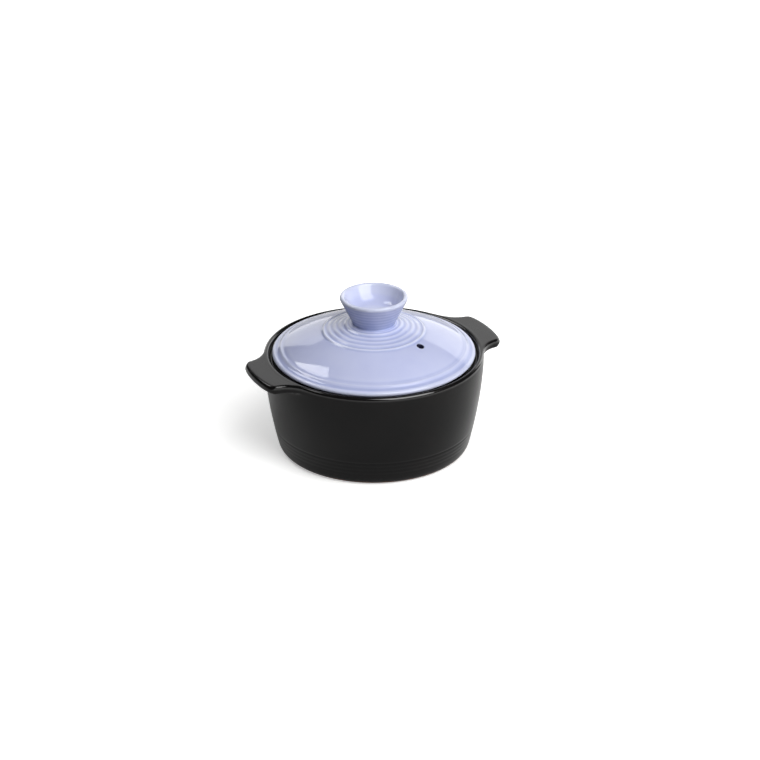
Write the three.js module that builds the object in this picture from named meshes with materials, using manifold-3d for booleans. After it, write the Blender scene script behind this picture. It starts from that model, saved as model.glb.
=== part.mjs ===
// Two-handled stoneware casserole: a black glazed pot with a lug handle on each side, and a pale
// blue domed lid with a hollow cup for a knob. Millimetres, +Z up. The origin is the middle of the
// foot ring, on the table, and the handles lie along X.
//
// The clay is formed as five blanks: the bowl and the dome are turned, the knob is turned by itself,
// and the two lugs are pressed. Slip joins the lugs to the bowl and the knob to the dome, and the lid
// lies loose on a ledge inside the rim.

import * as THREE from 'three';
import { mergeVertices } from 'three/addons/utils/BufferGeometryUtils.js';
import Module from 'manifold-3d';

// Bowl, outside
const RIM_RADIUS = 100;
const POT_HEIGHT = 91;
const BASE_RADIUS = 86.5; // where the line of the wall would meet the table
const WALL_SWELL = 1.75; // 1 is a straight wall, and more swells it below the rim
const FOOT_ROUND = 8; // from the wall under to the foot ring
const FOOT_WIDTH = 9; // flat, bare ring that the pot stands on
const FOOT_RECESS = 2;
const RIM_WIDTH = 5.4;
const RIM_ROUND = 2.4; // on the outer edge
const RIM_INNER_ROUND = 1.6;

// Turned grooves low on the wall
const GROOVE_COUNT = 4;
const GROOVE_TOP = 23.5; // height of the highest groove
const GROOVE_PITCH = 4;
const GROOVE_WIDTH = 1.6;
const GROOVE_DEPTH = 0.45;

// Bowl, inside
const WALL = 6.5;
const FLOOR = 7.5;
const FLOOR_ROUND = 17;
const GALLERY_DEPTH = 2.8; // from the rim's top down to the ledge
const LEDGE_WIDTH = 8.8;
const LEDGE_THICKNESS = 4.5;

// Lug handles
const LUG_REACH = 19.6; // beyond the rim
const LUG_WIDTH = 59;
const LUG_CORNER = 5.5; // corner round in plan
const LUG_ROOT_ANGLE = 28; // degrees from the handle's middle to the end of its flare
const LUG_THICKNESS = 7;
const LUG_EDGE_ROUND = 2.6;
const LUG_DROP = 0.4; // top of the lug below the top of the rim
const GUSSET_DEPTH = 5; // how far the swelling under the lug runs down the wall
const GUSSET_REACH = 13; // and how far it runs out under the lug
const GUSSET_WIDTH = 34; // at its lowest

// Lid
const LID_CLEARANCE = 2.5; // all round, inside the rim
const LID_WALL = 6.6; // measured upright
const LID_RISE = 31.2; // from the seat up to the land under the knob
const CROWN_SLOPE = 14.9; // degrees, next to the knob, from where the dome steepens to its edge
const LID_EDGE_LIFT = 3.3; // line of the dome above the seat, at the edge
const LID_EDGE_ROLL = 2.6; // radius of the rolled edge
const LID_ROLL_LIFT = 0.75; // underside of the roll above the seat
const LID_ROLL_END = 95; // degrees from level, where the roll runs out on the upper side
const BEAD_INSET = 9; // from the lid's edge in to the bead
const BEAD_WIDTH = 5;
const BEAD_HEIGHT = 0.45;
const EDGE_GROOVE_DEPTH = 0.2; // between the bead and the rolled edge
const RING_RADIUS = 45.5; // outermost turned ring
const RING_PITCH = 5.1; // from ring to ring, in to the foot of the knob
const RING_HEIGHT = 0.4;
const VENT_DIAMETER = 6.8;
const VENT_RADIUS = 52; // from the lid's middle
const VENT_ANGLE = -63.3; // degrees from the right-hand lug

// Knob
const KNOB_FOOT_RADIUS = 21.6;
const KNOB_WAIST_RADIUS = 19.6;
const KNOB_FOOT_EDGE = 0.5; // upright edge of the foot
const KNOB_FOOT_FILLET = 1.5; // height where the fillet above it ends
const KNOB_RADIUS = 30.6;
const KNOB_HEIGHT = 26.5;
const KNOB_LIP = 3; // thickness of the lip, and of the cup's wall
const KNOB_WELL_DEPTH = 21;
const KNOB_WELL_ROUND = 9;

// Gaps left where one blank meets the next
const SLIP_GAP = 0.3;
const SEAT_GAP = 0.3;

// Fineness of the facets
const TURNED_SIDES = 56;
const KNOB_SIDES = 40;
const VENT_SIDES = 16;
const WALL_STEPS = 6;
const ROUND_STEPS = 4;
const EDGE_STEPS = 3;
const RING_STEPS = 4; // for each ring
const DOME_STEPS = 5;

// Sizes that follow
const GALLERY_RADIUS = RIM_RADIUS - RIM_WIDTH;
const MOUTH_RADIUS = GALLERY_RADIUS - LEDGE_WIDTH;
const LEDGE_HEIGHT = POT_HEIGHT - GALLERY_DEPTH;
const LUG_TOP = POT_HEIGHT - LUG_DROP;
const LID_RADIUS = GALLERY_RADIUS - LID_CLEARANCE;
const DOME_WIDTH = LID_RADIUS - KNOB_FOOT_RADIUS; // from the knob's foot out to the edge
const CROWN_FALL = DOME_WIDTH * Math.tan(THREE.MathUtils.degToRad(CROWN_SLOPE));
const EDGE_FALL = LID_RISE - LID_EDGE_LIFT - CROWN_FALL;
const EDGE_SLOPE = (CROWN_FALL + 3 * EDGE_FALL) / DOME_WIDTH; // rise for each unit inwards, at the edge
const BEAD_RADIUS = LID_RADIUS - BEAD_INSET;
const RING_OUTER = RING_RADIUS + RING_PITCH / 2;
const RING_COUNT = Math.floor((RING_OUTER - KNOB_FOOT_RADIUS) / RING_PITCH); // as many as fit

const wasm = await Module();
wasm.setup();

// Outlines

function point(radius, height) {
  return new THREE.Vector2(radius, height);
}

// A curve from one point to another that leaves and arrives along the lines to their shared corner.
function roundCorner(from, corner, to, steps = ROUND_STEPS) {
  return new THREE.QuadraticBezierCurve(from, corner, to).getPoints(steps);
}

function arc(centre, radius, fromDegrees, toDegrees, steps) {
  return Array.from({ length: steps + 1 }, (_, step) => {
    const angle = THREE.MathUtils.degToRad(THREE.MathUtils.lerp(fromDegrees, toDegrees, step / steps));
    return point(centre.x + radius * Math.cos(angle), centre.y + radius * Math.sin(angle));
  });
}

function evenly(from, to, steps) {
  return Array.from({ length: steps + 1 }, (_, step) => THREE.MathUtils.lerp(from, to, step / steps));
}

// A smooth hump, 1 at its middle and 0 from half its width on.
function hump(offset, width) {
  return Math.abs(offset) < width / 2 ? Math.cos(Math.PI * offset / width) ** 2 : 0;
}

// Solids

// A closed surface as a solid. A revolve squeezes the triangles at its axis to lines, which are left out.
function solidOf(geometry) {
  geometry.deleteAttribute('normal');
  geometry.deleteAttribute('uv');
  const merged = mergeVertices(geometry);
  const corners = merged.index.array;
  const triVerts = [];
  for (let i = 0; i < corners.length; i += 3) {
    const [a, b, c] = corners.slice(i, i + 3);
    if (a !== b && b !== c && c !== a) triVerts.push(a, b, c);
  }
  return new wasm.Manifold(new wasm.Mesh({
    numProp: 3,
    vertProperties: merged.attributes.position.array,
    triVerts: new Uint32Array(triVerts),
  }));
}

// Turns an outline of radius and height about Z. The outline runs round the section, clay on its left.
function turned(outline, sides = TURNED_SIDES) {
  return solidOf(new THREE.LatheGeometry(outline, sides).rotateX(Math.PI / 2));
}

function meshOf(name, solid, material) {
  const { vertProperties, triVerts } = solid.getMesh();
  const geometry = new THREE.BufferGeometry();
  geometry.setAttribute('position', new THREE.BufferAttribute(vertProperties, 3));
  geometry.setIndex(new THREE.BufferAttribute(triVerts, 1));
  geometry.computeVertexNormals();
  const mesh = new THREE.Mesh(geometry, material);
  mesh.name = name;
  return mesh;
}

// Bowl

// The wall swells from the foot and stands upright at the rim.
function wallRadius(height) {
  return RIM_RADIUS - (RIM_RADIUS - BASE_RADIUS) * (1 - height / POT_HEIGHT) ** WALL_SWELL;
}

function wallPoint(height, inset = 0) {
  return point(wallRadius(height) - inset, height);
}

function footRound() {
  return roundCorner(point(BASE_RADIUS - FOOT_ROUND, 0), point(BASE_RADIUS, 0), wallPoint(FOOT_ROUND));
}

function rimRound() {
  const edge = point(RIM_RADIUS, POT_HEIGHT);
  return roundCorner(wallPoint(POT_HEIGHT - RIM_ROUND), edge, point(RIM_RADIUS - RIM_ROUND, POT_HEIGHT));
}

function grooves() {
  const lowest = GROOVE_TOP - (GROOVE_COUNT - 1) * GROOVE_PITCH;
  return evenly(lowest, GROOVE_TOP, GROOVE_COUNT - 1).flatMap((height) => [
    wallPoint(height - GROOVE_WIDTH / 2),
    wallPoint(height, GROOVE_DEPTH),
    wallPoint(height + GROOVE_WIDTH / 2),
  ]);
}

function plainWall(from) {
  return evenly(from, POT_HEIGHT - RIM_ROUND, WALL_STEPS).slice(1, -1).map((height) => wallPoint(height));
}

function bowl() {
  const footInner = BASE_RADIUS - FOOT_ROUND - FOOT_WIDTH;
  const ledgeUnder = LEDGE_HEIGHT - LEDGE_THICKNESS;
  const slopeFoot = ledgeUnder - (wallRadius(ledgeUnder) - WALL - MOUTH_RADIUS);
  const floorTop = FLOOR + FOOT_RECESS;
  const floorEdge = wallRadius(floorTop) - WALL;
  const innerHeights = evenly(slopeFoot, floorTop + FLOOR_ROUND, WALL_STEPS);
  const innerWall = innerHeights.map((height) => wallPoint(height, WALL));
  return turned([
    point(0, FOOT_RECESS),
    point(footInner - FOOT_RECESS, FOOT_RECESS),
    point(footInner, 0),
    ...footRound(),
    ...grooves(),
    ...plainWall(GROOVE_TOP + GROOVE_WIDTH / 2),
    ...rimRound(),
    ...roundCorner(
      point(GALLERY_RADIUS + RIM_INNER_ROUND, POT_HEIGHT),
      point(GALLERY_RADIUS, POT_HEIGHT),
      point(GALLERY_RADIUS, POT_HEIGHT - RIM_INNER_ROUND),
    ),
    point(GALLERY_RADIUS, LEDGE_HEIGHT),
    point(MOUTH_RADIUS, LEDGE_HEIGHT),
    point(MOUTH_RADIUS, ledgeUnder),
    ...innerWall.slice(0, -1),
    ...roundCorner(innerWall.at(-1), point(floorEdge, floorTop), point(floorEdge - FLOOR_ROUND, floorTop)),
    point(0, floorTop),
  ]);
}

// Lug handles

// Plan of the lug on the +X side: a tip concentric with the rim, straight sides, and a flare on each
// side that runs out along the rim. Its root lies inside the wall, where the wall's shape cuts it off.
function lugPlan() {
  const tipRadius = RIM_RADIUS + LUG_REACH;
  const half = LUG_WIDTH / 2;
  const rootAngle = THREE.MathUtils.degToRad(LUG_ROOT_ANGLE);
  const rootX = RIM_RADIUS * Math.cos(rootAngle);
  const rootY = RIM_RADIUS * Math.sin(rootAngle);
  const bendX = rootX + (rootY - half) * Math.tan(rootAngle);
  const cornerX = Math.sqrt(tipRadius ** 2 - half ** 2);
  const tipAngle = Math.asin((half - LUG_CORNER) / tipRadius);
  const sideX = Math.max(cornerX - LUG_CORNER, bendX);
  const buriedX = rootX - 2 * LUG_CORNER;
  const plan = new THREE.Shape();
  plan.moveTo(buriedX, -rootY);
  plan.lineTo(rootX, -rootY);
  plan.quadraticCurveTo(bendX, -half, sideX, -half);
  plan.quadraticCurveTo(cornerX, -half, tipRadius * Math.cos(tipAngle), -tipRadius * Math.sin(tipAngle));
  plan.absarc(0, 0, tipRadius, -tipAngle, tipAngle, false);
  plan.quadraticCurveTo(cornerX, half, sideX, half);
  plan.quadraticCurveTo(bendX, half, rootX, rootY);
  plan.lineTo(buriedX, rootY);
  return plan;
}

// The plan given a thickness below the lug's top. A rounded plate has its edges eased all round.
function lugPlate(top, thickness, edgeRound) {
  const geometry = new THREE.ExtrudeGeometry(lugPlan(), {
    depth: thickness - 2 * edgeRound,
    curveSegments: ROUND_STEPS,
    bevelEnabled: edgeRound > 0,
    bevelThickness: edgeRound,
    bevelSize: edgeRound,
    bevelOffset: -edgeRound,
    bevelSegments: EDGE_STEPS,
  });
  return solidOf(geometry.translate(0, 0, top - thickness + edgeRound));
}

// Ring under the lugs whose hollow curve runs from the wall out to the underside of the plate.
function gussetRing() {
  const under = LUG_TOP - LUG_THICKNESS;
  const foot = under - GUSSET_DEPTH;
  const overlap = LUG_THICKNESS / 2; // into the plate, so that the two join
  const buried = RIM_RADIUS - LUG_REACH;
  const outer = RIM_RADIUS + GUSSET_REACH;
  const curve = roundCorner(wallPoint(foot), wallPoint(under), point(outer, under));
  return turned([
    point(buried, foot),
    ...curve,
    point(outer, under + overlap),
    point(buried, under + overlap),
    point(buried, foot),
  ]);
}

// Front outline of the swelling: it thins out along the wall towards the ends of the flare.
function gussetFront() {
  const under = LUG_TOP - LUG_THICKNESS;
  const foot = under - GUSSET_DEPTH;
  const rootY = RIM_RADIUS * Math.sin(THREE.MathUtils.degToRad(LUG_ROOT_ANGLE));
  const front = new THREE.Shape();
  front.moveTo(-rootY, LUG_TOP);
  front.lineTo(-rootY, under);
  front.quadraticCurveTo(-LUG_WIDTH / 2, under, -GUSSET_WIDTH / 2, foot);
  front.lineTo(GUSSET_WIDTH / 2, foot);
  front.quadraticCurveTo(LUG_WIDTH / 2, under, rootY, under);
  front.lineTo(rootY, LUG_TOP);
  const geometry = new THREE.ExtrudeGeometry(front, {
    depth: RIM_RADIUS + LUG_REACH,
    curveSegments: 2 * ROUND_STEPS,
    bevelEnabled: false,
  });
  const acrossX = new THREE.Matrix4().makeBasis(
    new THREE.Vector3(0, 1, 0),
    new THREE.Vector3(0, 0, 1),
    new THREE.Vector3(1, 0, 0),
  );
  return solidOf(geometry.applyMatrix4(acrossX));
}

// All that lies inside the wall, with the slip's thickness added.
function wallCutter() {
  const upright = [...footRound(), ...plainWall(FOOT_ROUND), ...rimRound()];
  return turned([
    point(0, 0),
    ...upright.map(({ x, y }) => point(x + SLIP_GAP, y)),
    point(0, POT_HEIGHT),
  ]);
}

function lug() {
  const block = lugPlate(LUG_TOP - LUG_EDGE_ROUND, LUG_THICKNESS + GUSSET_DEPTH, 0);
  const gusset = gussetRing().intersect(gussetFront()).intersect(block);
  return lugPlate(LUG_TOP, LUG_THICKNESS, LUG_EDGE_ROUND).add(gusset).subtract(wallCutter());
}

// Lid, with its seat at height 0

// Upper surface without its rings: level under the knob, then a fall that steepens towards the edge.
function domeHeight(radius) {
  const share = Math.max(radius - KNOB_FOOT_RADIUS, 0) / DOME_WIDTH;
  return LID_RISE - CROWN_FALL * share - EDGE_FALL * share ** 3;
}

function ringRelief(radius) {
  const rings = Array.from({ length: RING_COUNT }, (_, k) => RING_RADIUS - k * RING_PITCH);
  return RING_HEIGHT * rings.reduce((sum, ring) => sum + hump(radius - ring, RING_PITCH), 0);
}

function dome() {
  const rings = evenly(RING_OUTER - RING_COUNT * RING_PITCH, RING_OUTER, RING_COUNT * RING_STEPS);
  const bead = evenly(BEAD_RADIUS - BEAD_WIDTH / 2, BEAD_RADIUS + BEAD_WIDTH / 2, RING_STEPS);
  const groove = bead.pop();
  const rollCentre = point(LID_RADIUS - LID_EDGE_ROLL, LID_EDGE_ROLL + LID_ROLL_LIFT);
  const seatInner = LID_RADIUS - (LID_WALL - LID_EDGE_LIFT) / EDGE_SLOPE;
  const flank = evenly(bead[0], RING_OUTER, DOME_STEPS).slice(1, -1);
  const hollow = evenly(KNOB_FOOT_RADIUS, seatInner, DOME_STEPS).slice(0, -1);
  const outside = [
    point(rollCentre.x, 0),
    ...arc(rollCentre, LID_EDGE_ROLL, -90, LID_ROLL_END, 2 * ROUND_STEPS),
    point(groove, domeHeight(groove) - EDGE_GROOVE_DEPTH),
    ...bead.reverse().map((r) => point(r, domeHeight(r) + BEAD_HEIGHT * hump(r - BEAD_RADIUS, BEAD_WIDTH))),
    ...flank.map((r) => point(r, domeHeight(r))),
    ...rings.reverse().map((r) => point(r, domeHeight(r) + ringRelief(r))),
    point(KNOB_FOOT_RADIUS, LID_RISE),
    point(0, LID_RISE),
  ];
  const inside = [
    point(0, LID_RISE - LID_WALL),
    ...hollow.map((r) => point(r, domeHeight(r) - LID_WALL)),
    point(seatInner, 0),
  ];
  return turned([...inside, ...outside]);
}

function ventCutter() {
  const angle = THREE.MathUtils.degToRad(VENT_ANGLE);
  const radius = VENT_DIAMETER / 2;
  const geometry = new THREE.CylinderGeometry(radius, radius, 2 * LID_RISE, VENT_SIDES);
  geometry.rotateX(Math.PI / 2);
  geometry.translate(VENT_RADIUS * Math.cos(angle), VENT_RADIUS * Math.sin(angle), LID_RISE);
  return solidOf(geometry);
}

// Knob, with its foot at height 0: a flared cup with a rounded lip.
function knob() {
  const lipRadius = KNOB_LIP / 2;
  const lipCentre = point(KNOB_RADIUS - lipRadius, KNOB_HEIGHT - lipRadius);
  const flare = Math.atan2(KNOB_RADIUS - KNOB_WAIST_RADIUS, KNOB_HEIGHT - lipRadius - KNOB_FOOT_FILLET);
  const flareDegrees = THREE.MathUtils.radToDeg(flare);
  const lip = arc(lipCentre, lipRadius, -flareDegrees, 180 - flareDegrees, 2 * ROUND_STEPS);
  const wellFloor = KNOB_HEIGHT - KNOB_WELL_DEPTH;
  const wellEdge = lip.at(-1).x - (lip.at(-1).y - wellFloor) * Math.tan(flare);
  const wellRoundTop = point(wellEdge + KNOB_WELL_ROUND * Math.tan(flare), wellFloor + KNOB_WELL_ROUND);
  const wellRoundEnd = point(wellEdge - KNOB_WELL_ROUND, wellFloor);
  const waist = point(KNOB_WAIST_RADIUS, KNOB_FOOT_FILLET);
  const footRise = KNOB_FOOT_FILLET - KNOB_FOOT_EDGE;
  const waistFoot = point(KNOB_WAIST_RADIUS - footRise * Math.tan(flare), KNOB_FOOT_EDGE);
  return turned([
    point(0, 0),
    point(KNOB_FOOT_RADIUS, 0),
    ...roundCorner(point(KNOB_FOOT_RADIUS, KNOB_FOOT_EDGE), waistFoot, waist),
    ...lip,
    ...roundCorner(wellRoundTop, point(wellEdge, wellFloor), wellRoundEnd),
    point(0, wellFloor),
  ], KNOB_SIDES);
}

// Assembly

function blackGlaze() {
  return new THREE.MeshStandardMaterial({ color: '#2a2a2b', roughness: 0.38, metalness: 0 });
}

function blueGlaze() {
  return new THREE.MeshStandardMaterial({ color: '#bfc7e6', roughness: 0.12, metalness: 0 });
}

function potGroup() {
  const group = new THREE.Group();
  const right = meshOf('lug_handle_right', lug(), blackGlaze());
  const left = meshOf('lug_handle_left', lug(), blackGlaze());
  left.rotation.z = Math.PI;
  group.add(meshOf('pot_bowl', bowl(), blackGlaze()), right, left);
  return group;
}

function lidGroup() {
  const group = new THREE.Group();
  const knobMesh = meshOf('lid_knob', knob(), blueGlaze());
  knobMesh.position.z = LID_RISE + SLIP_GAP;
  group.add(meshOf('lid_dome', dome().subtract(ventCutter()), blueGlaze()), knobMesh);
  group.position.z = LEDGE_HEIGHT + SEAT_GAP;
  return group;
}

const casserole = new THREE.Group();
casserole.add(potGroup(), lidGroup());

export default casserole;
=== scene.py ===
"""Two-handled stoneware casserole with a domed lid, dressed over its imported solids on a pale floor."""

import math

import bmesh
import bpy
from bpy.props import FloatProperty, FloatVectorProperty, IntProperty, PointerProperty
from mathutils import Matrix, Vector


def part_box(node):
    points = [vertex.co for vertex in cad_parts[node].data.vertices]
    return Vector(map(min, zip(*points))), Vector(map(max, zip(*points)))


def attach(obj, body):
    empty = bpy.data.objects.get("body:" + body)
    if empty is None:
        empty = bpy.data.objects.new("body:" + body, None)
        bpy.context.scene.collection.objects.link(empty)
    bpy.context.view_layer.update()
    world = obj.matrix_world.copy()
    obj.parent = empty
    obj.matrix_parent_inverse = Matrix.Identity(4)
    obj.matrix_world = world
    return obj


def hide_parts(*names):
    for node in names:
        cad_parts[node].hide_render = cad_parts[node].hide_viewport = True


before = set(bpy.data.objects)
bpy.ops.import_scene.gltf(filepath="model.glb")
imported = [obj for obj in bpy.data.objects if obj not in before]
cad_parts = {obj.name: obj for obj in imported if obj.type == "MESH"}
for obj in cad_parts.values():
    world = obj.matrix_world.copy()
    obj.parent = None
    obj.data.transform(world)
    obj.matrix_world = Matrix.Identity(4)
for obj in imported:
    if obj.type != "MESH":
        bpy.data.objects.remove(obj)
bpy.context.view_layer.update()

bl_info = {
    "name": "Stoneware Casserole",
    "version": (1, 0, 0),
    "blender": (4, 5, 0),
    "location": "3D View > Sidebar > Casserole",
    "description": "Builds a glazed two-handled casserole, its domed lid and a plain studio",
    "category": "Add Mesh",
}

MM = 0.001
BOWL_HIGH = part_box("pot_bowl")[1]
LUG_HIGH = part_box("lug_handle_right")[1]
DOME_LOW, DOME_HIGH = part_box("lid_dome")
KNOB_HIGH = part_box("lid_knob")[1]

# Steps round the wheel and rounds of smoothing
POT_STEPS = 72
POT_SMOOTHING = 2
LID_STEPS = 160
LID_SMOOTHING = 1

# Steps along the outside of the knob
CONE_STEPS = 24
FILLET_STEPS = 4

# Plan of a lug, as shares of its reach and half its width there in degrees round the pot
LUG_ROOT_ANGLE = math.radians(25)
LUG_PLAN = ((0.05, 22.6), (0.2, 19.2), (0.46, 16.5), (0.76, 15.1), (1.0, 14.3))

# Slope of the lid beside the knob, and the side of the lid that the vent is on
CROWN_SLOPE = math.radians(14.9)
VENT_ANGLE = math.radians(-63.3)

# Camera of the photo: its bearing, its angle above the table, its distance, its lens and its aim
CAMERA_TURN = math.radians(-26.3)
CAMERA_RISE = math.radians(26.16)
CAMERA_DISTANCE = 2.5
CAMERA_LENS = 129.55
CAMERA_AIM = (5.62 * MM, 20.42 * MM)
STAGE_MIDDLE = Vector((0, 0, 39.6 * MM))
CAMERA_RIGHT = Vector((math.cos(CAMERA_TURN), math.sin(CAMERA_TURN), 0))
CAMERA_AWAY = Vector((-math.sin(CAMERA_TURN), math.cos(CAMERA_TURN), 0))


def linear(code):
    """Linear RGBA of an sRGB hex colour."""
    parts = [int(code[place:place + 2], 16) / 255 for place in (1, 3, 5)]
    return [part / 12.92 if part <= 0.04045 else ((part + 0.055) / 1.055) ** 2.4 for part in parts] + [1.0]


def length(name, description, default):
    """A size in metres that a user may change."""
    return FloatProperty(
        name=name, description=description, default=default, min=0.0, unit="LENGTH", precision=5
    )


def amount(name, description, default, unit="NONE"):
    """A strength that a user may change."""
    return FloatProperty(name=name, description=description, default=default, min=0.0, unit=unit)


def colour(name, description, code):
    """A colour that a user may change."""
    return FloatVectorProperty(
        name=name, description=description, default=linear(code), size=4, min=0.0, max=1.0, subtype="COLOR"
    )


# Sizes and colours


class CasserolePot(bpy.types.PropertyGroup):
    """Sizes of the pot and its lugs"""

    rim_radius: length("Rim radius", "Outside radius of the rim", BOWL_HIGH.x)
    height: length("Height", "Height of the rim above the table", BOWL_HIGH.z + 1 * MM)
    base_radius: length("Base radius", "Radius the wall would reach at the table", 86.5 * MM)
    swell: FloatProperty(
        name="Swell", description="Curve of the wall, where 1 is straight", default=1.75, min=1.0
    )
    foot_round: length("Foot round", "Size of the round at the foot", 6.2 * MM)
    foot_width: length("Foot width", "Width of the ring the pot stands on", 9 * MM)
    foot_recess: length("Foot recess", "Hollow under the base inside the foot ring", 2 * MM)
    rim_width: length("Rim width", "Width of the rounded rim", 5.4 * MM)
    wall: length("Wall", "Thickness of the wall", 6.5 * MM)
    floor: length("Floor", "Thickness of the floor", 7.5 * MM)
    floor_round: length("Floor round", "Round between wall and floor inside", 17 * MM)
    gallery_depth: length("Gallery depth", "Depth of the ledge below the rim", 3.8 * MM)
    gutter_depth: length("Gutter depth", "Depth of the hollow between rim and ledge", 6 * MM)
    ledge_width: length("Ledge width", "Width of the ledge that carries the lid", 8.8 * MM)
    ledge_thickness: length("Ledge thickness", "Thickness of the ledge", 4.5 * MM)
    groove_top: length("Top groove", "Height of the highest turned groove", 23.5 * MM)
    groove_pitch: length("Groove pitch", "Distance between turned grooves", 4 * MM)
    groove_width: length("Groove width", "Width of a turned groove", 1.8 * MM)
    groove_depth: length("Groove depth", "Depth of a turned groove", 0.21 * MM)
    grooves: IntProperty(name="Grooves", description="Turned grooves above the foot", default=4, min=1)
    lug_reach: length("Lug reach", "How far a lug stands out from the rim", LUG_HIGH.x - BOWL_HIGH.x)
    lug_thickness: length("Lug thickness", "Thickness of a lug at its tip", 7.8 * MM)
    lug_root: length("Lug root", "Depth of a lug where it meets the wall", 12 * MM)


class CasseroleLid(bpy.types.PropertyGroup):
    """Sizes of the lid and its knob"""

    seat_height: length("Seat height", "Height of the lid's seat above the table", DOME_LOW.z)
    radius: length("Radius", "Outside radius of the lid", DOME_HIGH.x)
    wall: length("Wall", "Thickness of the lid, measured upright", 6.6 * MM)
    rise: length("Rise", "Height of the dome under the knob above the seat", 31.2 * MM)
    edge_lift: length("Edge lift", "Height of the dome's line at the lid's edge", 3.3 * MM)
    edge_roll: length("Edge roll", "Radius of the rolled edge", 2.6 * MM)
    bead_inset: length("Bead inset", "Distance of the bead from the edge", 7.7 * MM)
    bead_width: length("Bead width", "Width of the bead near the edge", 4.2 * MM)
    bead_height: length("Bead height", "Height of the bead near the edge", 0.42 * MM)
    ring_radius: length("Ring radius", "Radius of the widest turned ring", 45.5 * MM)
    ring_pitch: length("Ring pitch", "Distance between turned rings", 5.1 * MM)
    ring_height: length("Ring height", "Height of the turned rings", 0.42 * MM)
    rings: IntProperty(name="Rings", description="Turned rings round the knob", default=5, min=1)
    vent_radius: length("Vent radius", "Radius of the steam vent", 3.4 * MM)
    vent_place: length("Vent place", "Distance of the vent from the lid's middle", 52 * MM)
    knob_foot: length("Knob foot", "Radius of the knob's foot", 21.6 * MM)
    knob_waist: length("Knob waist", "Smallest radius of the knob", 19.6 * MM)
    knob_radius: length("Knob radius", "Radius of the knob at its lip", KNOB_HIGH.x)
    knob_top: length("Knob top", "Height of the knob's lip above the table", KNOB_HIGH.z)
    knob_fillet: length("Knob fillet", "Height of the curve between knob and dome", 1.5 * MM)
    knob_lip: length("Knob lip", "Thickness of the knob's lip", 4.2 * MM)
    well_depth: length("Well depth", "Depth of the cup in the knob", 15.5 * MM)
    well_round: length("Well round", "Round at the bottom of the cup", 7 * MM)


class CasseroleGlazes(bpy.types.PropertyGroup):
    """Colours of the glazes and the clay"""

    black: colour("Black glaze", "Body of the satin black glaze", "#0a0a0b")
    black_thin: colour("Thin black glaze", "Black glaze where it is thin", "#110f0f")
    blue: colour("Blue glaze", "Body of the periwinkle glaze", "#bfc5e6")
    # Painted light and shade: the thin colour also paints highlights on the ring crests and light in the
    # cup, and the pooled colour also paints shade down the knob's cone
    blue_thin_and_lit: colour("Thin blue glaze", "Periwinkle glaze on crests and in the cup", "#d0d5ec")
    blue_pooled_and_shaded: colour("Pooled blue glaze", "Periwinkle glaze in hollows", "#a3add6")
    # Painted shade: the vent colour is a dark colour laid inside the steam vent, where the hole is in
    # shade
    vent: colour("Vent", "Dark body inside the steam vent", "#22243a")
    clay: colour("Clay", "Bare fired clay on the foot", "#a8735a")


class CasseroleStudio(bpy.types.PropertyGroup):
    """Light and floor of the studio"""

    floor: colour("Floor", "Pale studio floor", "#f2f2f1")
    floor_bounce: colour("Floor bounce", "Floor as the pot's underside is lit by it", "#808080")
    floor_glow: amount("Floor glow", "White that the floor adds to its paint", 0.62)
    room: amount("Room", "Brightness of the room", 0.02)
    key: amount("Key", "Power of the softbox in front", 38.0, "POWER")
    card: amount("Card", "Power of the card at the right", 7.0, "POWER")
    strip: amount("Strip", "Power of the strip on the left", 15.0, "POWER")
    sheet: amount("Sheet", "Power of the sheet behind", 23.0, "POWER")


# Sections


def rounded(start, corner, end, steps):
    """Points on a curve that leaves and arrives along the lines to a shared corner."""
    shares = [step / steps for step in range(steps + 1)]
    return [start * (1 - t) ** 2 + corner * 2 * t * (1 - t) + end * t ** 2 for t in shares]


def evenly(start, end, steps):
    """Numbers from start to end."""
    return [start + (end - start) * step / steps for step in range(steps + 1)]


def hump(offset, width):
    """A smooth hump, 1 at its middle and 0 from half its width on."""
    return math.cos(math.pi * offset / width) ** 2 if abs(offset) < width / 2 else 0.0


def wall_radius(pot, height):
    """Outside radius of the wall, which swells from the foot and stands upright at the rim."""
    return pot.rim_radius - (pot.rim_radius - pot.base_radius) * (1 - height / pot.height) ** pot.swell


def foot_section(pot):
    """Underside, foot ring and the round into the wall."""
    inner = pot.base_radius - pot.foot_round - pot.foot_width
    start = Vector((pot.base_radius - pot.foot_round, 0))
    end = Vector((wall_radius(pot, pot.foot_round), pot.foot_round))
    under = [(0, pot.foot_recess), (inner * 0.5, pot.foot_recess), (inner - 4 * MM, pot.foot_recess)]
    ring = [(inner - 1.6 * MM, pot.foot_recess * 0.9), (inner - 0.4 * MM, 0.2 * MM), (inner + 1.2 * MM, 0)]
    return under + ring + [tuple(place) for place in rounded(start, Vector((pot.base_radius, 0)), end, 6)]


def wall_section(pot):
    """Outside of the wall with its turned grooves, from the foot up to the lugs."""
    section = []
    for number in reversed(range(pot.grooves)):
        middle = pot.groove_top - number * pot.groove_pitch
        for share, depth in ((-0.62, 0), (-0.3, 1), (0.3, 1), (0.62, 0)):
            height = middle + share * pot.groove_width
            depth *= pot.groove_depth * (1 if number == 0 else 0.4)
            section.append((wall_radius(pot, height) - depth, height))
    heights = evenly(pot.groove_top + 3 * MM, pot.height - pot.lug_root - 3 * MM, 6)
    return section + [(wall_radius(pot, height), height) for height in heights]


def lug_rows(pot):
    """Heights on the wall of the four rows that the lugs are pulled from, lowest first."""
    low = pot.height - pot.lug_root
    high = pot.height - 2.9 * MM
    return [low, (low + high) / 2, high, pot.height - 0.9 * MM]


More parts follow.
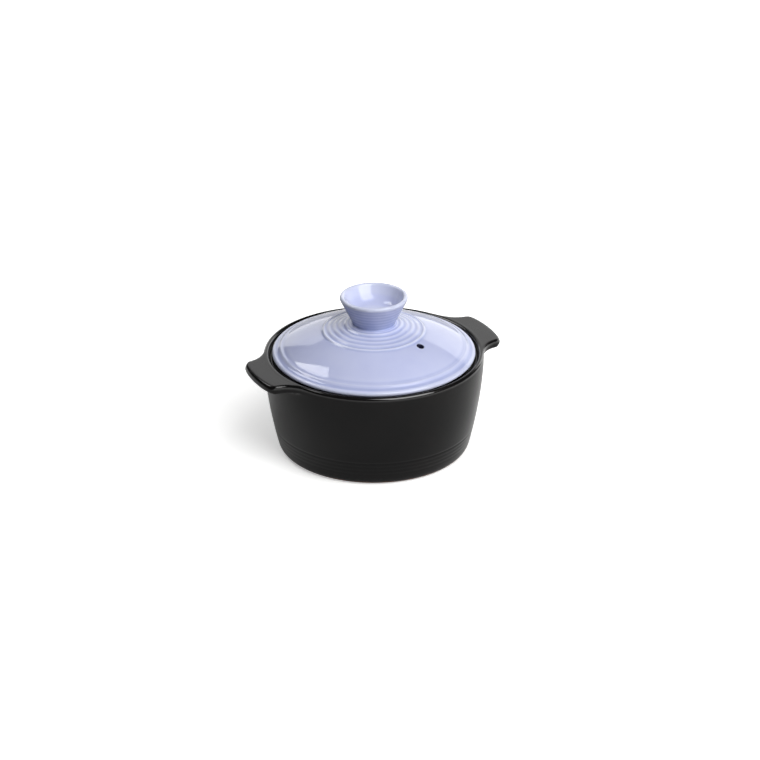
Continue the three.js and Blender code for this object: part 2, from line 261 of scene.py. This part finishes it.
def inside_section(pot):
    """Rim, gutter, ledge for the lid, inside wall and floor."""
    gallery = pot.rim_radius - pot.rim_width
    mouth = gallery - pot.ledge_width
    ledge = pot.height - pot.gallery_depth
    under = ledge - pot.ledge_thickness
    slope_foot = under - (wall_radius(pot, under) - pot.wall - mouth)
    floor = pot.floor + pot.foot_recess
    floor_edge = wall_radius(pot, floor) - pot.wall
    top = pot.height
    gutter = top - pot.gutter_depth
    rim = [(pot.rim_radius - pot.rim_width * 0.5, top + 0.3 * MM), (gallery + 1.1 * MM, top - 0.5 * MM)]
    drop = [
        (gallery + 0.1 * MM, top - 2.4 * MM),
        (gallery - 0.1 * MM, gutter + 1.4 * MM),
        (gallery - 0.9 * MM, gutter),
    ]
    step = [
        (gallery - 2.2 * MM, gutter + 0.2 * MM),
        (gallery - 3.4 * MM, ledge - 0.5 * MM),
        (gallery - 4 * MM, ledge),
        (mouth + 1.4 * MM, ledge),
        (mouth, ledge - 0.1 * MM),
    ]
    lip = [(mouth, ledge - 1.4 * MM), (mouth, under + 1.2 * MM), (mouth + 0.4 * MM, under - 0.4 * MM)]
    wall = [(wall_radius(pot, h) - pot.wall, h) for h in evenly(slope_foot, floor + pot.floor_round, 5)]
    start = Vector(wall[-1])
    curve = rounded(start, Vector((floor_edge, floor)), Vector((floor_edge - pot.floor_round, floor)), 6)
    bottom = [tuple(place) for place in curve[1:]] + [(floor_edge * 0.4, floor), (0, floor)]
    return rim + drop + step + lip + wall + bottom


def dome_height(lid, radius):
    """Top of the lid above its seat, without rings: level at the knob, then steeper towards the edge."""
    width = lid.radius - lid.knob_foot
    share = max(radius - lid.knob_foot, 0) / width
    crown = width * math.tan(CROWN_SLOPE)
    return lid.rise - crown * share - (lid.rise - lid.edge_lift - crown) * share ** 3


def ring_relief(lid, radius):
    """Height of the turned rings.

    The widest is a narrow raised line, and the one at the knob's foot is fuller than those between.
    """
    heights = [2.1] + [1.0] * (lid.rings - 2) + [1.7]
    widths = [0.85] + [1.0] * (lid.rings - 1)
    relief = 0.0
    for number, (high, wide) in enumerate(zip(heights, widths)):
        offset = radius - lid.ring_radius + number * lid.ring_pitch
        relief += high * hump(offset, lid.ring_pitch * wide)
    return lid.ring_height * relief


def knob_section(lid, land):
    """Cup of the knob from the middle of its well, over the lip and down to its foot on the dome."""
    top = lid.knob_top - lid.seat_height
    half = lid.knob_lip / 2
    foot = land + lid.knob_fillet
    flare = math.atan2(lid.knob_radius - lid.knob_waist, top - half - foot)
    centre = Vector((lid.knob_radius - half, top - half))
    turns = evenly(math.pi - flare, -flare, 10)
    lip = [centre + half * Vector((math.cos(turn), math.sin(turn))) for turn in turns]
    well_floor = top - lid.well_depth
    edge = lip[0].x - (lip[0].y - well_floor) * math.tan(flare)
    round_top = Vector((edge + lid.well_round * math.tan(flare), well_floor + lid.well_round))
    floor_edge = Vector((edge - lid.well_round, well_floor))
    bottom = [Vector((0, well_floor)), Vector((floor_edge.x / 2, well_floor))]
    curve = rounded(floor_edge, Vector((edge, well_floor)), round_top, 7)
    well = [round_top.lerp(lip[0], share) for share in evenly(0, 1, 6)[1:-1]]
    waist = Vector((lid.knob_waist, foot))
    cone = [lip[-1].lerp(waist, share) for share in evenly(0, 1, CONE_STEPS)[1:]]
    ripple_height = 0.05 * MM
    ripple_pitch = 3.4 * MM
    for place in cone[2:-2]:
        place.x += ripple_height * math.sin(math.tau * place.y / ripple_pitch)
    corner = Vector((lid.knob_waist - lid.knob_fillet * math.tan(flare), land))
    fillet = rounded(waist, corner, Vector((lid.knob_foot, land)), FILLET_STEPS)[1:]
    return bottom + curve + well + lip + cone + fillet


def dome_section(lid):
    """Outside of the dome from the knob's foot to the rolled edge."""
    vent_rows = [lid.vent_place + step * 2 * MM for step in (-2, -1, 0, 1, 2)]
    rings = evenly(lid.knob_foot + 0.7 * MM, vent_rows[0] - 0.6 * MM, 40)
    bead = lid.radius - lid.bead_inset
    flank = evenly(vent_rows[-1] + 2.5 * MM, bead - lid.bead_width / 2 - 3.2 * MM, 7)
    section = [Vector((r, dome_height(lid, r) + ring_relief(lid, r))) for r in rings + vent_rows + flank]
    groove = bead - lid.bead_width / 2 - 0.8 * MM
    section.append(Vector((groove, dome_height(lid, groove) - 0.15 * MM)))
    for r in evenly(bead - lid.bead_width / 2 + 0.2 * MM, bead + lid.bead_width / 2 - 0.6 * MM, 7):
        section.append(Vector((r, dome_height(lid, r) + lid.bead_height * hump(r - bead, lid.bead_width))))
    groove = bead + lid.bead_width / 2 + 0.3 * MM
    section.append(Vector((groove, dome_height(lid, groove) - 0.12 * MM)))
    wide = lid.edge_roll * 1.25
    middle = Vector((lid.radius - wide, lid.edge_roll + 0.4 * MM))
    for turn in evenly(math.radians(90), math.radians(-62), 10):
        section.append(middle + Vector((wide * math.cos(turn), lid.edge_roll * math.sin(turn))))
    return section


def under_section(lid):
    """Seat and hollow underside of the lid, from the edge to the middle."""
    seat = lid.radius - 5 * MM
    vent_rows = [lid.vent_place + step * 2 * MM for step in (2, 1, 0, -1, -2)]
    rows = evenly(seat - 1.5 * MM, vent_rows[0] + 3 * MM, 7) + vent_rows
    rows += evenly(vent_rows[-1] - 3 * MM, lid.knob_foot * 0.4, 7) + [0]
    section = [Vector((seat + 2.2 * MM, 0)), Vector((seat, 0.1 * MM))]
    return section + [Vector((r, dome_height(lid, r) - lid.wall)) for r in rows]


# Clay work


def widening(steps):
    """How many times wider a ring of points has to be, because smoothing draws it inwards."""
    return 3 / (2 + math.cos(math.tau / steps))


def turned(section, steps, angle=0.0):
    """Spins a half section about the upright axis, from a given angle on."""
    turn = Vector((math.cos(angle), math.sin(angle), 0)) * widening(steps)
    clay = bmesh.new()
    row = clay.verts.layers.int.new("row")
    verts = [clay.verts.new((turn.x * radius, turn.y * radius, height)) for radius, height in section]
    for number, vert in enumerate(verts):
        vert[row] = number
    edges = [clay.edges.new(pair) for pair in zip(verts, verts[1:])]
    bmesh.ops.spin(
        clay, geom=verts + edges, cent=(0, 0, 0), axis=(0, 0, 1),
        angle=math.tau, steps=steps, use_merge=True,
    )
    bmesh.ops.remove_doubles(clay, verts=clay.verts, dist=0.001 * MM)
    bmesh.ops.recalc_face_normals(clay, faces=clay.faces)
    return clay


def pull_lug(clay, pot, rows, facing):
    """Pulls one lug out of the wall below the rim: the faces between its rows move out, ring by ring."""
    row = clay.verts.layers.int["row"]
    across = clay.verts.layers.float.get("across") or clay.verts.layers.float.new("across")
    for vert in clay.verts:
        vert[across] = math.atan2(vert.co.y * facing, vert.co.x * facing) / LUG_ROOT_ANGLE
    wall = [
        face for face in clay.faces
        if all(vert[row] in rows and abs(vert[across]) < 1.01 for vert in face.verts)
    ]
    low, middle, high, top = rows
    heights = dict(zip(rows, lug_rows(pot)))
    tip = pot.height - pot.lug_thickness

    def height_of(vert, share):
        bottom = heights[low] + (tip + 1.5 * MM - heights[low]) * min(abs(vert[across]), 1) ** 2
        bottom = tip - (tip - bottom) * (1 - share) ** 2
        upper = heights[high]
        crest = pot.height + 0.15 * MM
        return {low: bottom, middle: (bottom + upper) / 2, high: upper, top: crest}[vert[row]]

    for vert in {vert for face in wall for vert in face.verts}:
        vert.co.z = height_of(vert, 0)
    for share, half in LUG_PLAN:
        pulled = bmesh.ops.extrude_face_region(clay, geom=wall)["geom"]
        bmesh.ops.delete(clay, geom=wall, context="FACES")
        wall = [part for part in pulled if isinstance(part, bmesh.types.BMFace)]
        for vert in (part for part in pulled if isinstance(part, bmesh.types.BMVert)):
            place = vert[across]
            spread = math.copysign(1 - (1 - min(abs(place), 1)) ** (1 + 0.5 * share), place)
            angle = math.radians(half) * spread
            radius = (pot.rim_radius + pot.lug_reach * share) * widening(POT_STEPS)
            if share == 1.0:
                radius -= 0.05 * MM + 2.8 * MM * abs(place) ** 6
                radius -= {low: 1.8 * MM, middle: 0, high: 0.1 * MM, top: 1.7 * MM}[vert[row]]
            x = facing * radius * math.cos(angle)
            y = facing * radius * math.sin(angle)
            vert.co = (x, y, height_of(vert, share))


def glaze_and_light_levels(lid, section, lip_end, cone_end):
    """How deep the glaze stands on each row of the lid, from 0 where it ran off to 1 where it gathered.

    It is thin in the cup and over the lip, which come out paler: in the cup a painted highlight for the
    bright light there, over the lip partly the glaze breaking thin. It gathers down the cone of the knob,
    partly pooled glaze and partly painted shade on the cone, which faces down.
    It leaves the crests and fills the hollows, more strongly on the rings, where the paler crests are
    partly painted highlights.
    """
    levels = []
    for number, here in enumerate(section):
        depth = 0.5
        # Painted light: the cup and the lip come out paler, for the bright light in the cup; over the lip
        # it is partly the glaze breaking thin
        if number <= lip_end:
            depth -= 0.35
        # Painted shade: the glaze deepens down the cone towards the waist, partly pooled glaze and partly
        # shade on the cone
        elif number <= cone_end:
            depth += 0.4 * (number - lip_end) / (cone_end - lip_end)
        if 0 < number < len(section) - 1:
            arriving = (here - section[number - 1]).normalized()
            bend = arriving.cross((section[number + 1] - here).normalized())
            # On the rings the crests turn paler more strongly, partly glaze breaking and partly painted
            # highlights
            pull = 1.8 if here.x < lid.vent_place else 1.1
            depth += max(-0.5, min(0.3, pull * bend))
        levels.append(depth)
    return levels


def pierce_vent(clay, lid):
    """Pierces the steam vent: faces are cut from both sides of the lid, and the two holes are joined."""
    # The sunk rings of the vent are marked for painted shade, a dark colour in the hole
    dark = clay.verts.layers.float.new("vent_shade")
    radial = Vector((math.cos(VENT_ANGLE), math.sin(VENT_ANGLE), 0))
    tangent = Vector((-math.sin(VENT_ANGLE), math.cos(VENT_ANGLE), 0))
    middle = radial * lid.vent_place
    reach = 2 * math.tau / LID_STEPS * lid.vent_place + 0.4 * MM

    def inside(vert):
        offset = vert.co - middle
        return abs(offset.dot(tangent)) < reach and abs(offset.dot(radial)) < 4.4 * MM and vert.co.z > 0

    patch = [face for face in clay.faces if all(inside(vert) for vert in face.verts)]
    sides = {up: [face for face in patch if (face.normal.z > 0) == up] for up in (True, False)}
    rims = {}
    for up, faces in sides.items():
        edges = [edge for face in faces for edge in face.edges]
        rims[up] = [edge for edge in set(edges) if edges.count(edge) == 1]
    bmesh.ops.delete(clay, geom=patch, context="FACES")
    last = []
    for up, loop in rims.items():
        sign = -1 if up else 1
        for grow, sink in ((1.08, 0), (0.92, 0.25 * MM), (0.86, 1.4 * MM)):
            if sink:
                made = bmesh.ops.extrude_edge_only(clay, edges=loop)["geom"]
                loop = [part for part in made if isinstance(part, bmesh.types.BMEdge)]
            for vert in {vert for edge in loop for vert in edge.verts}:
                out = Vector((vert.co.x, vert.co.y, 0)) - middle
                place = middle + out.normalized() * lid.vent_radius * grow
                surface = lid.seat_height + dome_height(lid, place.length) - (0 if up else lid.wall)
                vert.co = (place.x, place.y, surface + sign * sink)
                vert[dark] = 1.0 if sink else 0.0
        last += loop
    bmesh.ops.bridge_loops(clay, edges=last)
    bmesh.ops.recalc_face_normals(clay, faces=clay.faces)


def fired(clay, name, material, levels):
    """Makes the finished clay a smooth object with its glaze."""
    mesh = bpy.data.meshes.new(name)
    for face in clay.faces:
        face.smooth = True
    clay.to_mesh(mesh)
    clay.free()
    mesh.materials.append(material)
    piece = bpy.data.objects.new(name, mesh)
    bpy.context.scene.collection.objects.link(piece)
    smoothing = piece.modifiers.new("smoothing", "SUBSURF")
    smoothing.levels = levels
    smoothing.render_levels = levels
    return piece


# Glazes


def add_node(tree, kind, inputs=None, **settings):
    """Adds a node with its settings, and links or sets its inputs."""
    node = tree.nodes.new(kind)
    for name, value in settings.items():
        setattr(node, name, value)
    for socket, value in (inputs or {}).items():
        if isinstance(value, bpy.types.NodeSocket):
            tree.links.new(value, node.inputs[socket])
        else:
            node.inputs[socket].default_value = value
    return node


def computed(tree, operation, *values):
    """Result of a sum on numbers."""
    return add_node(tree, "ShaderNodeMath", dict(enumerate(values)), operation=operation).outputs["Value"]


def remapped(tree, value, start, end, low=0.0, high=1.0, **settings):
    """A number moved from one range to another, and kept inside it."""
    inputs = {"Value": value, "From Min": start, "From Max": end, "To Min": low, "To Max": high}
    return add_node(tree, "ShaderNodeMapRange", inputs, **settings).outputs["Result"]


def between(tree, factor, low, high):
    """A number between two others."""
    inputs = {"Factor": factor, "A": low, "B": high}
    return add_node(tree, "ShaderNodeMix", inputs, data_type="FLOAT").outputs[0]


def blended(tree, factor, low, high):
    """A colour between two others."""
    inputs = {"Factor": factor, 6: low, 7: high}
    return add_node(tree, "ShaderNodeMix", inputs, data_type="RGBA").outputs[2]


def clouded(tree, place, size, detail):
    """Noise in clouds of a given size."""
    inputs = {"Vector": place, "Scale": 1 / size, "Detail": detail}
    return add_node(tree, "ShaderNodeTexNoise", inputs).outputs["Fac"]


def ray_kinds(tree):
    """The kinds of rays that look at a surface, and whether a glossy surface sent the ray."""
    path = add_node(tree, "ShaderNodeLightPath").outputs
    return path, computed(tree, "MAXIMUM", path["Is Glossy Ray"], path["Is Transmission Ray"])


def new_material(name):
    """An empty node material with its output."""
    material = bpy.data.materials.new(name)
    material.use_nodes = True
    tree = material.node_tree
    tree.nodes.clear()
    return material, tree, tree.nodes.new("ShaderNodeOutputMaterial")


def satin_black_glaze(glazes, rim):
    """Stoneware with a satin black glaze, dipped and fired, its foot wiped bare.

    The glaze is nearly black with a soft sheen, a little thinner in clouds and pitted like orange peel.
    It ran smooth over the rim, which gives a brighter and sharper line of light there.
    The wiped foot shows dry reddish-brown clay up to a slightly wavy glaze line.
    """
    material, tree, output = new_material("satin_black_glazed_stoneware")
    place = add_node(tree, "ShaderNodeTexCoord").outputs["Object"]
    height = add_node(tree, "ShaderNodeSeparateXYZ", {"Vector": place}).outputs["Z"]
    clouds = clouded(tree, place, 28 * MM, 3.0)
    peel = clouded(tree, place, 1.6 * MM, 2.0)
    wander = clouded(tree, place, 12 * MM, 2.0)
    grit = clouded(tree, place, 0.9 * MM, 4.0)

    line = remapped(tree, wander, 0.3, 0.7, 2.1 * MM, 3.1 * MM)
    above = computed(tree, "SUBTRACT", height, line)
    bare = remapped(tree, above, 0.12 * MM, -0.12 * MM)
    glaze = blended(tree, remapped(tree, clouds, 0.35, 0.7), glazes.black, glazes.black_thin)
    dark_clay = [part * 0.6 for part in glazes.clay[:3]] + [1.0]
    clay = blended(tree, grit, dark_clay, glazes.clay)
    rough = between(tree, bare, remapped(tree, clouds, 0.3, 0.7, 0.19, 0.25), 0.85)

    edge = remapped(tree, height, rim - 4 * MM, rim - 2 * MM)
    crest = remapped(tree, height, rim - 0.15 * MM, rim - 0.5 * MM)
    bump = add_node(tree, "ShaderNodeBump", {"Height": peel, "Strength": 0.3, "Distance": 0.05 * MM})
    shader = add_node(
        tree, "ShaderNodeBsdfPrincipled",
        {"Base Color": blended(tree, bare, glaze, clay), "Roughness": rough,
         "IOR": 1.5, "Specular IOR Level": 0.18,
         "Coat Weight": computed(tree, "MULTIPLY", edge, crest), "Coat Roughness": 0.06, "Coat IOR": 1.55,
         "Normal": bump.outputs["Normal"]},
    )
    tree.links.new(shader.outputs["BSDF"], output.inputs["Surface"])
    return material


def gloss_blue_glaze(glazes):
    """Stoneware with a glossy periwinkle glaze over turned rings.

    The glaze runs off the crests, which come out paler, and gathers in the hollows, which come out deeper;
    on the rings the paler crests are partly painted highlights, the cup is painted paler as light and the
    cone of the knob deeper as shade.
    Its gloss is sharp, with a very slight ripple from the wheel.
    """
    material, tree, output = new_material("gloss_periwinkle_glazed_stoneware")
    place = add_node(tree, "ShaderNodeTexCoord").outputs["Object"]
    clouds = clouded(tree, place, 24 * MM, 3.0)
    peel = clouded(tree, place, 2.2 * MM, 1.5)
    # Glaze depth of each row, which also holds the painted light in the cup and on the ring crests and the
    # painted shade on the cone
    glaze_and_light = add_node(tree, "ShaderNodeAttribute", attribute_name="glaze_depth_and_painted_light").outputs["Fac"]
    depth = computed(tree, "ADD", glaze_and_light, remapped(tree, clouds, 0.3, 0.7, -0.06, 0.06))
    shades = add_node(tree, "ShaderNodeValToRGB", {"Fac": depth})
    ramp = shades.color_ramp
    ramp.elements[0].color = glazes.blue_thin_and_lit
    ramp.elements[0].position = 0.1
    ramp.elements[1].color = glazes.blue_pooled_and_shaded
    ramp.elements[1].position = 0.9
    ramp.elements.new(0.5).color = glazes.blue
    # Painted shade: inside the vent the glaze colour turns to the dark vent colour
    inside = add_node(tree, "ShaderNodeAttribute", attribute_name="vent_shade").outputs["Fac"]
    skin = blended(tree, inside, shades.outputs["Color"], glazes.vent)
    bump = add_node(tree, "ShaderNodeBump", {"Height": peel, "Strength": 0.12, "Distance": 0.05 * MM})
    shader = add_node(
        tree, "ShaderNodeBsdfPrincipled",
        {"Base Color": skin, "Roughness": 0.06, "IOR": 1.5, "Normal": bump.outputs["Normal"]},
    )
    tree.links.new(shader.outputs["BSDF"], output.inputs["Surface"])
    return material


def floor_paint(studio):
    """Matt white paint that also glows, so that the floor comes out white with a soft shadow by the pot.

    The camera sees the whole glow and a glaze mirrors a small share of it.
    The glow is weaker under the pot, a painted shadow round its foot, and full far away from it.
    """
    material, tree, output = new_material("matt_white_floor_paint")
    path, mirrored = ray_kinds(tree)
    place = add_node(tree, "ShaderNodeTexCoord").outputs["Object"]
    reach = add_node(tree, "ShaderNodeVectorMath", {0: place}, operation="LENGTH").outputs["Value"]
    # Painted shadow: the glow drops near the pot, darkening the floor round its foot
    glow_with_painted_shadow = remapped(tree, reach, 0.09, 0.14, 0.43, studio.floor_glow)
    white = remapped(tree, reach, 0.5, 1.5, glow_with_painted_shadow, 1.0)
    seen = computed(tree, "MULTIPLY_ADD", mirrored, 0.12, path["Is Camera Ray"])
    strength = computed(tree, "MULTIPLY", seen, white)
    glow = add_node(tree, "ShaderNodeEmission", {"Color": (1, 1, 1, 1), "Strength": strength})
    shade = blended(tree, path["Is Diffuse Ray"], studio.floor, studio.floor_bounce)
    paint = add_node(tree, "ShaderNodeBsdfDiffuse", {"Color": shade})
    both = add_node(tree, "ShaderNodeAddShader", {0: paint.outputs["BSDF"], 1: glow.outputs["Emission"]})
    tree.links.new(both.outputs["Shader"], output.inputs["Surface"])
    return material


# Studio


def paint_world(world, studio):
    """A dim room with a band of light behind the pot for the glazes to mirror, white for the camera."""
    world.use_nodes = True
    tree = world.node_tree
    tree.nodes.clear()
    path, mirrored = ray_kinds(tree)
    toward = add_node(tree, "ShaderNodeTexCoord").outputs["Generated"]
    up = add_node(tree, "ShaderNodeSeparateXYZ", {"Vector": toward}).outputs["Z"]
    depth = add_node(tree, "ShaderNodeVectorMath", {0: toward, 1: CAMERA_AWAY}, operation="DOT_PRODUCT")
    behind = remapped(tree, depth.outputs["Value"], -0.3, 0.1, studio.room, 1.0)
    band = remapped(tree, up, 0.12, 0.03, studio.room, behind, interpolation_type="SMOOTHSTEP")
    glow = between(tree, computed(tree, "MULTIPLY", mirrored, 0.25), studio.room, band)
    strength = between(tree, path["Is Camera Ray"], glow, 1.0)
    sky = add_node(tree, "ShaderNodeBackground", {"Color": (1, 1, 1, 1), "Strength": strength})
    end = tree.nodes.new("ShaderNodeOutputWorld")
    tree.links.new(sky.outputs["Background"], end.inputs["Surface"])


def level(bearing):
    """A level direction, in degrees from the camera's right towards the far side."""
    turn = math.radians(bearing)
    return CAMERA_RIGHT * math.cos(turn) + CAMERA_AWAY * math.sin(turn)


def sky_place(bearing, rise, distance):
    """A place round the pot, by its bearing and its angle above the table in degrees."""
    rise = math.radians(rise)
    return (level(bearing) * math.cos(rise) + Vector((0, 0, math.sin(rise)))) * distance


def softbox(name, place, facing, size, power, lights=True, mirrors=True):
    """Hangs a lamp that may only light the pot or only be mirrored by it."""
    data = bpy.data.lights.new(name, "AREA")
    data.shape = "RECTANGLE"
    data.size, data.size_y = size
    data.energy = power
    lamp = bpy.data.objects.new(name, data)
    lamp.location = STAGE_MIDDLE + place
    lamp.rotation_euler = facing.to_track_quat("-Z", "Y").to_euler()
    lamp.visible_camera = False
    lamp.visible_diffuse = lights
    lamp.visible_glossy = mirrors
    bpy.context.scene.collection.objects.link(lamp)


def hang_softboxes(studio):
    """Key in front, card at the right, strip on the left and sheet behind, the last two in two parts."""
    key = sky_place(-51, 45, 1.8)
    softbox("key_softbox", key, -key, (1.5, 1.6), studio.key)
    card = sky_place(2, 13, 2.0)
    softbox("side_card", card, -card, (1.5, 0.6), studio.card, mirrors=False)
    strip = level(171) * 1.2 + Vector((0, 0, 1.8))
    along = level(81)
    end_power = studio.strip * 0.53
    softbox("strip_softbox", strip + along * 0.65, -level(171), (0.6, 1.45), studio.strip)
    softbox("strip_end", strip + along * 0.19, -level(171), (0.32, 1.45), end_power, lights=False)
    sheet = CAMERA_AWAY * 2.2 + Vector((0, 0, 0.8))
    left = sheet - CAMERA_RIGHT * 0.53
    right = sheet + CAMERA_RIGHT * 1.12
    softbox("sheet_left", left, -CAMERA_AWAY, (1.16, 1.6), studio.sheet * 0.36)
    softbox("sheet_right", right, -CAMERA_AWAY, (2.14, 1.6), studio.sheet * 0.75, lights=False)


def set_camera(scene):
    """Camera where the photo was taken from."""
    level_share = math.cos(CAMERA_RISE)
    x = math.sin(CAMERA_TURN) * level_share
    y = -math.cos(CAMERA_TURN) * level_share
    back = Vector((x, y, math.sin(CAMERA_RISE)))
    data = bpy.data.cameras.new("photo_camera")
    data.sensor_width = 36
    data.lens = CAMERA_LENS
    camera = bpy.data.objects.new("photo_camera", data)
    camera.location = STAGE_MIDDLE + back * CAMERA_DISTANCE
    aside, lift = CAMERA_AIM
    target = STAGE_MIDDLE + CAMERA_RIGHT * aside + back.cross(CAMERA_RIGHT) * lift
    camera.rotation_euler = (target - camera.location).to_track_quat("-Z", "Y").to_euler()
    scene.collection.objects.link(camera)
    scene.camera = camera


# Operators


class CASSEROLE_OT_pot(bpy.types.Operator):
    """Turn the pot, pull its two lugs and glaze it satin black"""

    bl_idname = "casserole.pot"
    bl_label = "Pot with Lugs"

    def execute(self, context):
        pot = context.scene.casserole_pot
        section = foot_section(pot) + wall_section(pot)
        first = len(section)
        section += [(wall_radius(pot, height), height) for height in lug_rows(pot)]
        section[-1] = (pot.rim_radius - 0.5 * MM, section[-1][1])
        rows = list(range(first, first + 4))
        clay = turned(section + inside_section(pot), POT_STEPS)
        for facing in (1, -1):
            pull_lug(clay, pot, rows, facing)
        bmesh.ops.recalc_face_normals(clay, faces=clay.faces)
        glaze = satin_black_glaze(context.scene.casserole_glazes, pot.height)
        piece = fired(clay, "pot_glazed", glaze, POT_SMOOTHING)
        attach(piece, "pot")
        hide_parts("pot_bowl", "lug_handle_left", "lug_handle_right")
        return {"FINISHED"}


class CASSEROLE_OT_lid(bpy.types.Operator):
    """Turn the lid with its knob, pierce the vent and glaze it periwinkle"""

    bl_idname = "casserole.lid"
    bl_label = "Lid with Knob"

    def execute(self, context):
        lid = context.scene.casserole_lid
        knob = knob_section(lid, dome_height(lid, 0))
        section = knob + dome_section(lid) + under_section(lid)
        clay = turned(section, LID_STEPS, VENT_ANGLE)
        # Each row's glaze depth, with its painted light and shade, goes onto the clay
        glaze_and_light = clay.verts.layers.float.new("glaze_depth_and_painted_light")
        row = clay.verts.layers.int["row"]
        cone_end = len(knob) - FILLET_STEPS
        levels = glaze_and_light_levels(lid, section, cone_end - CONE_STEPS - 1, cone_end)
        for vert in clay.verts:
            vert[glaze_and_light] = levels[vert[row]]
        bmesh.ops.translate(clay, verts=clay.verts, vec=(0, 0, lid.seat_height))
        pierce_vent(clay, lid)
        glaze = gloss_blue_glaze(context.scene.casserole_glazes)
        piece = fired(clay, "lid_glazed", glaze, LID_SMOOTHING)
        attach(piece, "lid")
        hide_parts("lid_dome", "lid_knob")
        return {"FINISHED"}


class CASSEROLE_OT_stage(bpy.types.Operator):
    """Lay the floor, hang the softboxes and set the camera"""

    bl_idname = "casserole.stage"
    bl_label = "Studio"

    def execute(self, context):
        studio = context.scene.casserole_studio
        clay = bmesh.new()
        bmesh.ops.create_grid(clay, x_segments=1, y_segments=1, size=7.0)
        mesh = bpy.data.meshes.new("studio_floor")
        clay.to_mesh(mesh)
        clay.free()
        mesh.materials.append(floor_paint(studio))
        floor = bpy.data.objects.new("studio_floor", mesh)
        context.scene.collection.objects.link(floor)
        context.scene.world = bpy.data.worlds.new("studio")
        paint_world(context.scene.world, studio)
        hang_softboxes(studio)
        set_camera(context.scene)
        context.scene.view_settings.view_transform = "Standard"
        return {"FINISHED"}


class CASSEROLE_PT_panel(bpy.types.Panel):
    """Builds the casserole and its studio"""

    bl_idname = "CASSEROLE_PT_panel"
    bl_label = "Stoneware Casserole"
    bl_space_type = "VIEW_3D"
    bl_region_type = "UI"
    bl_category = "Casserole"

    def draw(self, context):
        for operator in (CASSEROLE_OT_pot, CASSEROLE_OT_lid, CASSEROLE_OT_stage):
            self.layout.operator(operator.bl_idname)
        for name in GROUPS:
            box = self.layout.box()
            group = getattr(context.scene, name)
            for key in GROUPS[name].__annotations__:
                box.prop(group, key)


GROUPS = {
    "casserole_pot": CasserolePot,
    "casserole_lid": CasseroleLid,
    "casserole_glazes": CasseroleGlazes,
    "casserole_studio": CasseroleStudio,
}
CLASSES = (*GROUPS.values(), CASSEROLE_OT_pot, CASSEROLE_OT_lid, CASSEROLE_OT_stage, CASSEROLE_PT_panel)


def register():
    for kind in CLASSES:
        bpy.utils.register_class(kind)
    for name, kind in GROUPS.items():
        setattr(bpy.types.Scene, name, PointerProperty(type=kind))


def unregister():
    for name in GROUPS:
        delattr(bpy.types.Scene, name)
    for kind in reversed(CLASSES):
        bpy.utils.unregister_class(kind)


def main():
    register()
    bpy.ops.casserole.pot()
    bpy.ops.casserole.lid()
    bpy.ops.casserole.stage()


if __name__ == "__main__":
    main()
